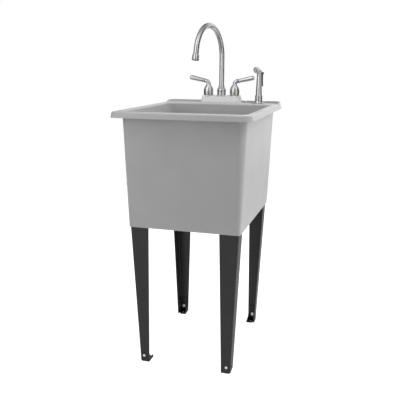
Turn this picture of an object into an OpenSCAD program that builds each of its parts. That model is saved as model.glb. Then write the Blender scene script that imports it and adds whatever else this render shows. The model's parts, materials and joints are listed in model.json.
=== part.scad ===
// Free-standing utility laundry sink: moulded tub, sheet-steel legs, two-handle faucet and side spray.
// Millimetres. +X to the right, +Y to the wall behind, +Z up. Origin on the floor under the tub's centre.

/* [Rim] */
// Width of the rim over its lip, left to right
rim_w = 451; // [420:1:520]
// Depth of the rim over its lip, front to back
rim_d = 590.5; // [560:0.5:660]
// Height of the rim's flat top above the floor
rim_z = 860.5; // [820:0.5:920]
// Height of the turned-down lip
lip_h = 18; // [12:0.5:26]
// How far the lip's lower edge stands out past its upper edge
lip_flare = 4.3; // [1:0.1:7]
// Thickness of the turned-down lip
lip_wall = 3.2; // [2.4:0.1:4.5]
// Corner radius of the lip, seen from above
rim_corner = 30; // [20:1:45]
// Rounding where the rim's top turns down into the lip
rim_round = 4; // [2:0.5:6]
// Rounding where the rim's top turns down into the basin
basin_round = 5.4; // [4:0.2:12]
// Height of the ridge along the back of the rim
ridge_h = 7.5; // [4:0.5:14]
// Thickness of the ridge at its top
ridge_t = 6.5; // [4:0.5:10]
// Distance from the back of the rim to where the ridge starts to rise
ridge_reach = 62; // [50:1:80]

/* [Tub] */
// Distance from the lip's side to the tub's side wall
over_side = 25; // [20:0.1:40]
// Distance from the lip's end to the tub's front or rear wall
over_end = 39.7; // [28:0.1:48]
// Lean of the tub's side walls
draft_side = 2.3; // [1:0.1:3]
// Lean of the tub's front and rear walls
draft_end = 2.2; // [1:0.1:3.5]
// Thickness of the tub's moulded walls
wall = 3.6; // [3:0.1:5]
// Drop from the basin's floor to the skirt's lower edge
skirt_drop = 57.2; // [48:0.1:80]
// Corner radius of the tub under the lip
corner_top = 26; // [18:1:32]
// Corner radius of the tub at the skirt's lower edge
corner_low = 10; // [8:1:12]
// Depth of the basin from the rim's top to its floor
basin_depth = 318; // [260:1:330]
// Rounding between the basin's walls and its floor
floor_round = 28; // [15:1:34]
// Fall of the basin's floor from its edge to the drain
floor_fall = 8; // [3:0.5:14]
// Depth of the deck from the back of the rim to the basin's rear wall
deck_d = 99; // [94:1:110]
// Width of the opening in the rear wall that reaches the faucet's connections
service_w = 250; // [180:5:300]
// Height of that opening
service_h = 190; // [140:5:220]
// Thickness of the ribs under the floor and behind the basin
rib_t = 3; // [2:0.2:4]
// Depth of the ribs under the floor
rib_h = 16; // [8:1:24]

/* [Faucet block] */
// Width of the raised block at its foot
block_w = 154; // [150:1:180]
// Depth of the raised block at its foot
block_d = 54; // [52:1:58]
// Height of the block above the rim's top
block_h = 28.5; // [20:0.5:40]
// Lean of the block's four sides
block_draft = 12; // [6:0.5:14]
// Corner radius of the block at its foot
block_corner = 11; // [9:0.5:14]
// Rounding along the block's upper edge
block_round = 2.4; // [1:0.2:4]
// Fillet where the block rises from the deck
block_fillet = 5; // [2:0.5:6]

/* [Drain] */
// Radius of the hole in the basin's floor
drain_hole_r = 23.4; // [22.6:0.1:26]
// Radius of the drain's flange
drain_flange_r = 34; // [31:0.5:38]
// Thickness of the drain's flange at its edge
drain_flange_t = 2.4; // [1.6:0.1:3.2]
// Outer radius of the drain's threaded body
drain_body_r = 22.2; // [21.8:0.1:22.6]
// Bore radius of the drain's threaded body
drain_bore_r = 19.6; // [18:0.1:20.5]
// Length of the drain's threaded body below the flange
drain_body_l = 44; // [40:1:60]
// Number of open sectors in the drain's strainer
strainer_ways = 4; // [3:1:8]
// Outer radius of the tailpiece that the trap slides on to
tail_r = 19.05; // [15:0.05:19.2]
// Wall of the tailpiece
tail_wall = 1.2; // [0.8:0.1:2]
// Drop from the basin's floor to the tailpiece's lower end
tail_drop = 106.5; // [90:0.5:130]
// Height of the stopper's pull knob
stopper_knob_h = 14; // [10:1:24]

/* [Legs] */
// Thickness of the leg's sheet steel
leg_t = 2; // [1.5:0.1:2.6]
// Outer bend radius of the leg's fold
leg_bend = 5; // [4:0.5:7]
// Half the distance across the legs' outer sides at the floor
leg_foot_x = 159; // [150:0.5:170]
// Half the distance across the legs' outer ends at the floor
leg_foot_y = 225.3; // [215:0.1:232]
// Width of the leg's front or rear flange at the floor
flange_end_low = 31.4; // [28:0.2:36]
// Width of the leg's front or rear flange at the skirt
flange_end_top = 63; // [50:0.5:70]
// Width of the leg's side flange at the floor
flange_side_low = 41; // [38:0.2:46]
// Width of the leg's side flange at the skirt
flange_side_top = 54; // [46:0.5:60]
// How far the leg reaches up into its pocket
leg_grip = 44; // [34:1:46]
// Radius of the holes near the leg's foot
leg_hole_r = 4.6; // [3.5:0.1:5.5]
// Height of those holes above the floor
leg_hole_z = 22; // [18:0.5:28]
// Distance of those holes from the leg's outer corner
leg_hole_in = 14.5; // [12:0.5:18]

/* [Feet] */
// Thickness of the foot's steel
foot_t = 2.5; // [2:0.1:3.5]
// Height of the foot inside the leg
foot_h = 56; // [52:1:70]
// Height at which the foot's side web starts on its flange
foot_web_h = 45; // [35:1:50]
// How far the foot can be let down to level the sink
foot_travel = 22; // [10:1:24]
// Radius of the floor anchor hole in the foot's pad
anchor_r = 3.6; // [2.5:0.1:4.5]

/* [Faucet] */
// Distance of the faucet's centre line in front of the rim's rear edge
faucet_in = 57.2; // [56:0.1:60]
// Distance between the hot and cold valve centres
valve_pitch = 101.6; // [98:0.1:106]
// Outer radius of the spout's tube
spout_r = 9.5; // [8:0.1:10.5]
// Wall of the spout's tube
spout_wall = 1.2; // [0.8:0.1:2]
// Bend radius of the spout's arch
spout_bend = 108.5; // [90:0.5:125]
// Height from the block's top to where the arch starts
spout_rise = 139.5; // [110:0.5:170]
// Angle that the arch bends through
spout_sweep = 168; // [150:1:180]
// How far the spout is swung to the left of straight ahead
spout_swing = 10; // [0:1:40]
// Straight length of tube after the arch
spout_tail = 18; // [12:1:30]
// Radius of the aerator
aerator_r = 12.2; // [11.5:0.1:14]
// Length of the aerator
aerator_l = 20; // [15:0.5:26]
// Radius of the spout nut at its shoulder
nut_r = 17.2; // [15.5:0.1:18]
// Height of the spout nut
nut_h = 35; // [30:0.5:42]

/* [Handles] */
// Radius of the handle's bell at its widest
bell_r = 18.6; // [17:0.1:19]
// Height from the block's top to where the handle's neck starts to bend
neck_z = 41; // [38:0.5:46]
// Radius of the handle's neck
neck_r = 8; // [7:0.1:9]
// Bend radius of the neck
neck_bend = 12; // [11:0.5:16]
// Rise of the lever above the horizontal
lever_rise = 12; // [0:1:25]
// Distance from the valve's axis to the tip of the lever
lever_reach = 74; // [60:1:90]
// Radius of the lever at the index ring
lever_r0 = 7.3; // [6:0.1:8]
// Radius of the lever near its tip
lever_r1 = 8.7; // [7:0.1:10]
// Width of the coloured index ring
index_w = 2.6; // [1.5:0.1:4]

/* [Side spray] */
// Distance of the side spray to the right of the faucet's centre
spray_x = 143; // [130:1:150]
// Radius of the holder's flange
holder_flange_r = 24; // [20:0.5:26]
// Radius of the holder's sleeve
holder_r = 14; // [13.2:0.1:16]
// Height of the holder above the rim's top
holder_h = 30; // [24:1:40]
// How far the spray head is turned to the left of straight ahead
spray_turn = 25; // [0:1:60]
// Radius of the wand where it leaves the holder
wand_r = 12; // [11:0.1:12.4]
// Radius of the wand at its neck
wand_neck_r = 8.8; // [8:0.1:10]
// Height of the wand's neck above the holder
wand_h = 78; // [60:1:90]
// Radius of the spray face
face_r = 12.8; // [11:0.1:15]
// Distance of the spray face from the wand's axis
face_reach = 20; // [17:0.5:26]
// How far the spray face looks down from level
face_tilt = 22; // [10:1:35]
// Angle that the spray's lever can be pressed through
trigger_travel = 5; // [3:0.5:6]

/* [Hidden] */

// Clearances and small sizes shared by the pieces
seat = 0.3;
run_fit = 0.08;
seam = 0.12;
tail_seam = 0.04;
thread_fit = 0.1;
slip_fit = 0.7;
sliver = 0.05;
arc_steps = 10;
round_steps = 5;
$fn = 64;

// Heights and walls of the tub, each as a line that leans with the draft
lip_z = rim_z - lip_h;
rim_hx = rim_w / 2;
rim_hy = rim_d / 2;
floor_z = rim_z - basin_depth;
skirt_z = floor_z - skirt_drop;
tail_z = floor_z - tail_drop;
function side_x(z) = rim_hx - over_side - (lip_z - z) * tan(draft_side);
function end_y(z) = rim_hy - over_end - (lip_z - z) * tan(draft_end);
function corner_r(z) = corner_low + (corner_top - corner_low) * (z - skirt_z) / (lip_z - skirt_z);
function basin_x(z) = side_x(z) - wall;
function basin_front(z) = -end_y(z) + wall;
function basin_back(z) = rim_hy - deck_d - (rim_z - z) * tan(draft_end);
basin_corner = corner_top - wall;
drain_y = (basin_front(floor_z) + basin_back(floor_z)) / 2;
fillet_z = floor_z + floor_round;
drain_z = floor_z - floor_fall;
boss_r = drain_flange_r + 4;
recess_z = drain_z - drain_flange_t;
boss_z = recess_z - wall - 1;

// Faucet places
faucet_y = rim_hy - faucet_in;
block_top = rim_z + block_h;
block_under = block_top - wall;
valve_x = valve_pitch / 2;
neck_hole_r = 11;
neck_thread_r = neck_hole_r - seat;
spout_hole_r = 12.8;

// A ring of points round a rounded rectangle, counter-clockwise seen from above
function ring(hx, y0, y1, r, z) = [
    for (c = [0:3])
        for (j = [0:arc_steps])
            let (
                a = -90 + 90 * c + 90 * j / arc_steps,
                cx = c < 2 ? hx - r : r - hx,
                cy = (c == 0 || c == 3) ? y0 + r : y1 - r
            )
            [cx + r * cos(a), cy + r * sin(a), z]
];

// A circle with as many points as a ring
function round_ring(r, y, z) = [
    for (c = [0:3])
        for (j = [0:arc_steps])
            let (a = -90 + 90 * c + 90 * (j + 0.5) / (arc_steps + 1))
            [r * cos(a), y + r * sin(a), z]
];

// Skin over a list of rings. A closed skin joins the last ring to the first, an open one gets caps.
module loft(rings, closed = false) {
    n = len(rings[0]);
    m = len(rings);
    points = [for (r = rings) for (p = r) p];
    sides = [
        for (i = [0:closed ? m - 1 : m - 2])
            for (k = [0:n - 1])
                let (
                    i2 = (i + 1) % m,
                    k2 = (k + 1) % n,
                    a = i * n + k,
                    b = i * n + k2,
                    c = i2 * n + k2,
                    d = i2 * n + k
                )
                each [[a, d, c], [a, c, b]]
    ];
    caps = closed ? [] : [[for (k = [0:n - 1]) k], [for (k = [n - 1:-1:0]) (m - 1) * n + k]];
    polyhedron(points = points, faces = concat(sides, caps), convexity = 12);
}

// Half extents of the lip's outside at a height
function lip_out(z) = lip_flare * (z - lip_z) / lip_h;
function lip_ring(inset, z) =
    ring(rim_hx - inset, -rim_hy + inset, rim_hy - inset, max(rim_corner - inset, 2), z);
function basin_ring(grow, z) =
    ring(basin_x(z) + grow, basin_front(z) - grow, basin_back(z) + grow, basin_corner + grow, z);
function skirt_ring(inset, z) =
    ring(side_x(z) - inset, -end_y(z) + inset, end_y(z) - inset, max(corner_r(z) - inset, 2), z);

// Rings of the tub's one continuous moulded skin, from the skirt's foot over the rim to the drain and back
function floor_corner(inset) = max(basin_corner + 0.3 * floor_round - inset, 4);
function floor_ring(inset, z) =
    ring(basin_x(fillet_z) - inset, basin_front(fillet_z) + inset, basin_back(fillet_z) - inset,
         floor_corner(inset), z);
outer_rings = [
    skirt_ring(0, skirt_z),
    skirt_ring(0, rim_z - wall - 1),
    lip_ring(lip_flare + lip_wall + 1, rim_z - wall),
    lip_ring(lip_wall, lip_z),
    lip_ring(0, lip_z)
];
rim_rings = [
    for (i = [0:round_steps])
        let (
            a = 90 * i / round_steps,
            z = rim_z - rim_round + rim_round * sin(a)
        )
        lip_ring(lip_out(z) + rim_round * (1 - cos(a)), z)
];
basin_edge_rings = [
    for (i = [0:round_steps])
        let (a = 90 * i / round_steps)
        basin_ring(basin_round * (1 - sin(a)), rim_z - basin_round * (1 - cos(a)))
];
floor_rings = [
    for (i = [0:round_steps])
        let (a = 90 * i / round_steps)
        floor_ring(floor_round * (1 - cos(a)), fillet_z - floor_round * sin(a))
];
drain_rings = [
    round_ring(drain_flange_r + 3, drain_y, drain_z),
    round_ring(drain_flange_r + seat, drain_y, drain_z - 0.4),
    round_ring(drain_flange_r + seat, drain_y, recess_z),
    round_ring(drain_hole_r - 3, drain_y, recess_z),
    round_ring(drain_hole_r - 3, drain_y, boss_z),
    round_ring(boss_r, drain_y, boss_z),
    round_ring(boss_r, drain_y, drain_z - wall)
];
// The underside follows the floor's rounding until it reaches the skirt
under_angle = 42;
under_reach = floor_round + wall;
under_z = fillet_z - under_reach * sin(under_angle);
under_rings = [
    for (i = [0:round_steps])
        let (a = 90 - (90 - under_angle) * i / round_steps)
        floor_ring(floor_round - under_reach * cos(a), fillet_z - under_reach * sin(a))
];
inner_rings = [skirt_ring(wall, under_z - 8), skirt_ring(wall, skirt_z)];

// Leg lines: the outer corner of the rear right leg runs straight from its foot to its pocket
leg_top = skirt_z + leg_grip;
leg_gap = 0.7;
leg_slope_x = min((side_x(leg_top) - wall - leg_gap - leg_foot_x) / leg_top,
                  (side_x(skirt_z) - wall - leg_gap - leg_foot_x) / skirt_z);
leg_slope_y = min((end_y(leg_top) - wall - leg_gap - leg_foot_y) / leg_top,
                  (end_y(skirt_z) - wall - leg_gap - leg_foot_y) / skirt_z);
function leg_x(z) = leg_foot_x + leg_slope_x * z;
function leg_y(z) = leg_foot_y + leg_slope_y * z;
function flange_end(z) = flange_end_low + (flange_end_top - flange_end_low) * z / skirt_z;
function flange_side(z) = flange_side_low + (flange_side_top - flange_side_low) * z / skirt_z;
leg_z = foot_t + seat;
screw_r = 2.9;
screw_head_r = 5;
screw_head_h = 3.6;
screw_z = skirt_z + leg_grip / 2;
pocket_rib = 4;
bend_steps = 5;

// Outline of an angle section whose outer faces meet at the origin, counter-clockwise seen from above
function angle_outline(wide_x, wide_y, t, bend) =
    let (inner = max(bend - t, 0.6))
    [
        [-wide_x, 0],
        [-wide_x, -t],
        for (j = [0:bend_steps])
            let (a = 90 - 90 * j / bend_steps)
            [-t - inner + inner * cos(a), -t - inner + inner * sin(a)],
        [-t, -wide_y],
        [0, -wide_y],
        for (j = [0:bend_steps])
            let (a = 90 * j / bend_steps)
            [-bend + bend * cos(a), -bend + bend * sin(a)]
    ];
// A frame that leans with the leg, with its origin on the leg's outer corner at a height
module along_leg(z) {
    translate([leg_x(z), leg_y(z), z])
        rotate([-atan(leg_slope_y), atan(leg_slope_x), 0])
            children();
}

// The corner modules make the rear right corner, and this moves it to each of the four places
module at_corner(name) {
    mirror([name == "front_left" || name == "rear_left" ? 1 : 0, 0, 0])
        mirror([0, name == "front_left" || name == "front_right" ? 1 : 0, 0])
            children();
}
CORNERS = ["front_left", "front_right", "rear_left", "rear_right"];

// Corner of the skirt, thickened inwards to hold the leg's top. It reaches halfway into the wall.
module pocket_block() {
    out = leg_gap + wall / 2;
    along_leg(skirt_z + 2)
        translate([out, out, 0])
            linear_extrude(leg_grip + 6)
                polygon(angle_outline(flange_end(leg_top) + out + seat + pocket_rib,
                                      flange_side(leg_top) + out + seat + pocket_rib,
                                      out + leg_t + seat + pocket_rib, corner_low - wall / 2));
}

// Slot that the leg's top slides into
module pocket_slot() {
    below = 8;
    along_leg(skirt_z - below)
        translate([seat, seat, 0])
            linear_extrude(leg_grip + below + seat)
                polygon(angle_outline(flange_end(leg_top) + 2 * seat, flange_side(leg_top) + 2 * seat,
                                      leg_t + 2 * seat, leg_bend + seat));
}

// Screw axes of one leg, pointing inwards from the leg's outer face
module at_leg_screws() {
    translate([leg_x(screw_z) - flange_end(screw_z) * 0.55, leg_y(screw_z), screw_z])
        rotate([90, 0, 0])
            children();
    translate([leg_x(screw_z), leg_y(screw_z) - flange_side(screw_z) * 0.55, screw_z])
        rotate([0, -90, 0])
            children();
}

// Raised block that the faucet stands on: a base fillet, leaning sides and a rounded upper edge
function block_inset(z) = (z - rim_z) * tan(block_draft);
function block_ring(inset, z) =
    ring(block_w / 2 - inset, faucet_y - block_d / 2 + inset, faucet_y + block_d / 2 - inset,
         max(block_corner - inset * 0.6, 3), z);
block_foot_out = block_fillet * cos(block_draft) - block_inset(rim_z + block_fillet * (1 - sin(block_draft)));
block_edge_in = block_inset(block_top - block_round * (1 - sin(block_draft))) + block_round * cos(block_draft);
module faucet_block() {
    loft(concat(
        [block_ring(-block_foot_out, rim_z - 2)],
        [
            for (i = [0:round_steps])
                let (a = 90 - (90 - block_draft) * i / round_steps)
                block_ring(block_fillet * cos(a) - block_foot_out, rim_z + block_fillet * (1 - sin(a)))
        ],
        [
            for (i = [0:round_steps])
                let (a = block_draft + (90 - block_draft) * i / round_steps)
                block_ring(block_edge_in - block_round * cos(a), block_top - block_round * (1 - sin(a)))
        ]
    ));
}

// Hollow behind the basin and under the deck, with the block's own hollow above it
cavity_inset = 0.4;
function cavity_back(z) = end_y(z) - wall - cavity_inset;
module rear_hollow() {
    loft([
        for (z = [under_z - 14, rim_z - wall])
            ring(side_x(z) - wall - cavity_inset, basin_back(z) + wall, cavity_back(z), rib_t, z)
    ]);
    loft([
        for (z = [rim_z - wall - 2, block_under])
            ring(block_w / 2 - wall - block_inset(z), faucet_y - block_d / 2 + wall + block_inset(z),
                 min(cavity_back(rim_z), faucet_y + block_d / 2 - wall - block_inset(z)),
                 block_corner - wall, z)
    ]);
}

// Ridge along the back of the rim, sloping down at its two ends
module ridge() {
    top = rim_z + ridge_h;
    foot = rim_z - rim_round;
    difference() {
        loft([
            for (p = [[sliver, foot], [sliver, top - 2], [0.6, top - 0.6], [2, top]])
                lip_ring(lip_out(p[1]) + p[0], p[1])
        ]);
        loft([
            for (p = [[0, foot - 1], [0, rim_z], [-1, top + 1]])
                lip_ring(lip_out(rim_z) + ridge_t + 1.5 + p[0], p[1])
        ]);
        translate([-rim_hx, rim_hy - ridge_reach, foot - 1])
            mirror([0, 1, 0])
                cube([rim_w, rim_d, ridge_h + rim_round + 2]);
        translate([0, rim_hy - ridge_reach, rim_z - 0.5])
            rotate([atan(ridge_h / 24), 0, 0])
                translate([-rim_hx, 0, 0])
                    cube([rim_w, 26, ridge_h * 2]);
    }
}

module rib_across(x) {
    z0 = under_z - 10;
    z1 = lip_z - 50;
    translate([x - rib_t / 2, 0, 0])
        rotate([90, 0, 90])
            linear_extrude(rib_t)
                polygon([
                    [basin_back(z0) + 1, z0], [cavity_back(z0) + 1, z0],
                    [cavity_back(z1) + 1, z1], [basin_back(z1) + 1, z1]
                ]);
}

module floor_rib(angle, reach) {
    translate([0, drain_y, 0])
        rotate([0, 0, angle])
            translate([0, rib_t / 2, 0])
                rotate([90, 0, 0])
                    linear_extrude(rib_t)
                        polygon([
                            [boss_r - 0.5, boss_z + 0.5], [boss_r - 0.5, drain_z - wall + 1],
                            [reach, floor_z - wall + 0.6], [reach, floor_z - wall - rib_h],
                            [boss_r + 6, floor_z - wall - rib_h]
                        ]);
}

service_drop = 14;
service_corner = 18;
module service_opening() {
    translate([0, rim_hy, lip_z - service_drop - service_h / 2])
        rotate([90, 0, 0])
            linear_extrude(deck_d - wall - 10)
                rounded_plate(service_w, service_h, service_corner);
}

module rounded_plate(w, h, r) {
    square([w - 2 * r, h], center = true);
    square([w, h - 2 * r], center = true);
    for (x = [r - w / 2, w / 2 - r])
        for (y = [r - h / 2, h / 2 - r])
            translate([x, y])
                circle(r);
}

module tub() color("darkgray") {
    difference() {
        union() {
            difference() {
                union() {
                    loft(concat(outer_rings, rim_rings, basin_edge_rings, floor_rings, drain_rings, under_rings,
                                inner_rings), closed = true);
                    faucet_block();
                    ridge();
                }
                rear_hollow();
                service_opening();
            }
            for (name = CORNERS)
                at_corner(name)
                    pocket_block();
            for (x = [-1, 1])
                rib_across(x * (service_w / 2 + 14));
            for (angle = [0, 180])
                floor_rib(angle, basin_x(fillet_z) - floor_round);
            floor_rib(90, basin_back(fillet_z) - floor_round - drain_y);
            floor_rib(270, drain_y - basin_front(fillet_z) - floor_round);
        }
        for (name = CORNERS)
            at_corner(name) {
                pocket_slot();
                at_leg_screws()
                    cylinder(r = screw_r + seat, h = leg_t + pocket_rib + 4);
            }
        translate([0, drain_y, boss_z - 1])
            cylinder(r = drain_hole_r, h = drain_z - boss_z + 1);
        for (x = [-valve_x, valve_x])
            translate([x, faucet_y, block_under - 1])
                cylinder(r = neck_hole_r, h = wall + 2);
        translate([0, faucet_y, block_under - 1])
            cylinder(r = spout_hole_r, h = wall + 2);
        translate([spray_x, faucet_y, rim_z - wall - 1])
            cylinder(r = holder_tail_r + seat, h = wall + 2);
    }
}

module leg() color("#2f2f2f") {
    difference() {
        loft([
            for (z = [leg_z, leg_top])
                [
                    for (p = angle_outline(flange_end(z), flange_side(z), leg_t, leg_bend))
                        [leg_x(z) + p[0], leg_y(z) + p[1], z]
                ]
        ]);
        translate([leg_x(leg_hole_z) - leg_hole_in, leg_y(leg_hole_z) + 1, leg_hole_z])
            rotate([90, 0, 0])
                cylinder(r = leg_hole_r, h = leg_t + 2);
        translate([leg_x(leg_hole_z) + 1, leg_y(leg_hole_z) - leg_hole_in, leg_hole_z])
            rotate([0, -90, 0])
                cylinder(r = leg_hole_r, h = leg_t + 2);
        at_leg_screws()
            translate([0, 0, -1])
                cylinder(r = screw_r + seat, h = leg_t + 2);
    }
}

module leg_screws() color("silver") {
    head_at = leg_t + 2 * seat + pocket_rib + sliver;
    at_leg_screws() {
        translate([0, 0, 0.6])
            cylinder(r = screw_r, h = head_at);
        translate([0, 0, head_at])
            cylinder(r = screw_head_r + 1.2, h = 1);
        translate([0, 0, head_at + 1])
            cylinder(r = screw_head_r, h = screw_head_h, $fn = 6);
    }
}

// Slot that follows the leg's lean, drawn in the plane of one flange
module leaning_slot(lean) {
    r = leg_hole_r + 0.4;
    rotate([0, 0, -atan(lean)]) {
        circle(r);
        translate([0, foot_travel])
            circle(r);
        translate([-r, 0])
            square([2 * r, foot_travel]);
    }
}

foot_off = leg_t + seat;
foot_lift = 0.2;
foot_wide = flange_end_low - foot_off;
foot_deep = flange_side_low - foot_off;
pad_x = leg_foot_x - flange_end_low;
pad_y = leg_foot_y - flange_side_low;
anchor_x = leg_foot_x - flange_end_low * 0.56;
anchor_y = leg_foot_y - flange_side_low * 0.6;
module foot() color("#1c1c1c") {
    difference() {
        union() {
            along_leg(0)
                union() {
                    translate([-foot_off, -foot_off, foot_lift])
                        linear_extrude(foot_h)
                            polygon(angle_outline(foot_wide, foot_deep, foot_t, leg_bend - leg_t));
                    foot_web();
                }
            foot_pad();
        }
        translate([leg_x(leg_hole_z) - leg_hole_in, leg_y(leg_hole_z) + 1, leg_hole_z])
            rotate([90, 0, 0])
                linear_extrude(foot_off + foot_t + 2)
                    leaning_slot(leg_slope_x);
        translate([leg_x(leg_hole_z) + 1, leg_y(leg_hole_z) - leg_hole_in, leg_hole_z])
            rotate([90, 0, -90])
                linear_extrude(foot_off + foot_t + 2)
                    leaning_slot(-leg_slope_y);
        translate([anchor_x, anchor_y, -1])
            cylinder(r = anchor_r, h = foot_t + 2);
    }
}

pad_notch = 9;
module foot_pad() {
    linear_extrude(foot_t)
        polygon([
            [leg_foot_x - leg_bend, leg_foot_y], [pad_x, leg_foot_y], [pad_x, pad_y],
            [leg_foot_x - pad_notch, pad_y], [leg_foot_x - pad_notch, pad_y + 7],
            [leg_foot_x, pad_y + 15], [leg_foot_x, leg_foot_y - leg_bend]
        ]);
}

// Web that ties the pad to the end flange, with a hollow curved upper edge, in the frame that leans with the leg
module foot_web() {
    low = 5;
    back = -foot_off - foot_t / 2;
    front = -flange_side_low + 0.7;
    translate([-flange_end_low + 0.5, 0, 0])
        rotate([90, 0, 90])
            linear_extrude(foot_t)
                polygon(concat(
                    [[front, foot_t / 2], [back, foot_t / 2]],
                    [
                        for (i = [0:6])
                            let (a = 15 * i)
                            [back - (back - front) * (1 - cos(a)), foot_web_h - (foot_web_h - low) * sin(a)]
                    ]
                ));
}

// Drain: the strainer body is clamped through the floor by a gasket, a washer and a locknut
gasket_t = 3;
washer_t = 1.5;
locknut_h = 9;
strainer_bar = 3;
seat_drop = 4;
module drain_strainer() color("silver") {
    translate([0, drain_y, recess_z]) {
        rotate_extrude()
            polygon([
                [drain_bore_r, -drain_body_l], [drain_body_r, -drain_body_l], [drain_body_r, 0],
                [drain_flange_r, 0], [drain_flange_r - 1, drain_flange_t],
                [drain_bore_r + seat_drop, drain_flange_t], [drain_bore_r, drain_flange_t - seat_drop]
            ]);
        intersection() {
            translate([0, 0, -12])
                cylinder(r = drain_bore_r + 0.5, h = strainer_bar);
            union() {
                for (i = [0:strainer_ways - 1])
                    rotate([0, 0, 360 * i / strainer_ways])
                        translate([0, -strainer_bar / 2, -12])
                            cube([drain_bore_r + 1, strainer_bar, strainer_bar]);
                translate([0, 0, -12])
                    cylinder(r = 5, h = strainer_bar);
            }
        }
    }
}

module drain_ring(r0, r1, top, h) {
    translate([0, drain_y, top - h])
        difference() {
            cylinder(r = r1, h = h);
            translate([0, 0, -1])
                cylinder(r = r0, h = h + 2);
        }
}
module drain_gasket() color("black") drain_ring(drain_body_r + seat, boss_r - 2, boss_z, gasket_t);
module drain_washer() color("whitesmoke") drain_ring(drain_body_r + seat, boss_r - 2, boss_z - gasket_t, washer_t);

locknut_top = boss_z - gasket_t - washer_t;
module lobed_nut(r, h, lobes) {
    cylinder(r = r, h = h);
    for (i = [0:lobes - 1])
        rotate([0, 0, 360 * i / lobes])
            translate([r - 1, -3, 0])
                cube([4, 6, h]);
}
module drain_locknut() color("whitesmoke") {
    translate([0, drain_y, locknut_top - locknut_h])
        difference() {
            lobed_nut(drain_body_r + 7, locknut_h, 8);
            translate([0, 0, -1])
                cylinder(r = drain_body_r + run_fit, h = locknut_h + 2);
        }
}

body_low = recess_z - drain_body_l;
nut_lap = 12;
nut_lip = 4;
module tailpiece() color("whitesmoke") {
    translate([0, drain_y, 0])
        difference() {
            union() {
                translate([0, 0, tail_z])
                    cylinder(r = tail_r, h = body_low - tail_z);
                translate([0, 0, body_low - 2])
                    cylinder(r = drain_body_r - seat, h = 2);
            }
            translate([0, 0, tail_z - 1])
                cylinder(r = tail_r - tail_wall, h = body_low - tail_z + 2);
        }
}
module tailpiece_nut() color("whitesmoke") {
    translate([0, drain_y, body_low - 2 - nut_lip])
        difference() {
            lobed_nut(drain_body_r + 4.5, nut_lap + nut_lip + 2, 8);
            translate([0, 0, nut_lip])
                cylinder(r = drain_body_r + run_fit, h = nut_lap + 3);
            translate([0, 0, -1])
                cylinder(r = tail_r + slip_fit, h = nut_lip + 2);
        }
}

module stopper() color("#222222") {
    top = drain_flange_t + seat;
    translate([0, drain_y, recess_z])
        rotate_extrude()
            polygon([
                [0, -2.4], [drain_bore_r - 1.4, -2.4],
                [drain_bore_r + seat_drop - 0.6, top], [drain_bore_r + seat_drop + 4, top],
                [drain_bore_r + seat_drop + 3, top + 2.6], [10, top + 3.4], [4.5, top + 5],
                [4, top + 3.4 + stopper_knob_h * 0.6], [6.4, top + 3.4 + stopper_knob_h * 0.75],
                [5.4, top + 3.4 + stopper_knob_h], [0, top + 3.4 + stopper_knob_h]
            ]);
}

// Valve body under the block: two valve housings and a spout socket on one cross tube
housing_r = 12.4;
cross_drop = 24;
cross_r = 9;
cross_z = block_under - cross_drop;
housing_low = cross_z - 12;
shank_r = 10.45;
shank_drop = 48;
shank_low = rim_z - wall - shank_drop;
cartridge_r = 8;
neck_up = 9;
spout_low = block_under - cross_drop / 2;
collar_h = 4;
hose_nipple_r = 6.8;
hose_nipple_low = shank_low + 14;
module valve_body() color("#b08d4a") {
    translate([0, faucet_y, 0])
        difference() {
            union() {
                for (x = [-valve_x, valve_x])
                    translate([x, 0, 0]) {
                        translate([0, 0, housing_low])
                            cylinder(r = housing_r, h = block_under - housing_low);
                        translate([0, 0, block_under])
                            cylinder(r = neck_thread_r, h = wall + neck_up);
                        translate([0, 0, shank_low])
                            cylinder(r = shank_r, h = cross_z - shank_low);
                    }
                translate([0, 0, housing_low])
                    cylinder(r = housing_r + 0.6, h = block_under - housing_low);
                translate([0, 0, block_under])
                    cylinder(r = spout_hole_r - seat, h = wall + neck_up);
                translate([-valve_x, 0, cross_z])
                    rotate([0, 90, 0])
                        cylinder(r = cross_r, h = valve_pitch);
                translate([0, 0, hose_nipple_low])
                    cylinder(r = hose_nipple_r, h = cross_z - hose_nipple_low);
            }
            for (x = [-valve_x, valve_x])
                translate([x, 0, 0]) {
                    translate([0, 0, cross_z])
                        cylinder(r = cartridge_r + run_fit, h = block_top - cross_z + neck_up + 1);
                    translate([0, 0, shank_low - 1])
                        cylinder(r = shank_r - 3, h = cross_z - shank_low + 2);
                }
            translate([0, 0, cross_z])
                cylinder(r = spout_r + run_fit, h = block_top - cross_z + neck_up + 1);
            translate([0, 0, hose_nipple_low - 1])
                cylinder(r = hose_nipple_r - 2.4, h = cross_z - hose_nipple_low + 1);
            translate([-valve_x, 0, cross_z])
                rotate([0, 90, 0])
                    cylinder(r = cross_r - 3, h = valve_pitch);
        }
}

// A child set on the valve axis: the cold side as drawn, the hot side mirrored
module at_valve(side) {
    mirror([side == "hot" ? 1 : 0, 0, 0])
        translate([valve_x, faucet_y, block_top])
            children();
}

stem_r = 4;
cartridge_up = 14;
stem_down = 6;
module cartridge() color("#c9c9c4") {
    difference() {
        union() {
            translate([0, 0, cross_z + 6 - block_top])
                cylinder(r = cartridge_r, h = block_top - cross_z - 6 + cartridge_up);
            translate([0, 0, neck_up + seat])
                cylinder(r = neck_thread_r - 0.6, h = cartridge_up - neck_up - seat - 1);
        }
        translate([0, 0, -stem_down])
            cylinder(r = stem_r + run_fit, h = cartridge_up + stem_down + 1);
    }
}

locknut_t = 5;
module valve_locknut() color("#b08d4a") {
    difference() {
        cylinder(r = neck_hole_r + 4, h = locknut_t, $fn = 6);
        translate([0, 0, -1])
            cylinder(r = neck_thread_r + run_fit, h = locknut_t + 2);
    }
}

hub_z = 22;
stem_up = 31;
module stem() color("#b08d4a") {
    translate([0, 0, seat - stem_down])
        cylinder(r = stem_r, h = stem_up + stem_down - seat);
}

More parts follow.
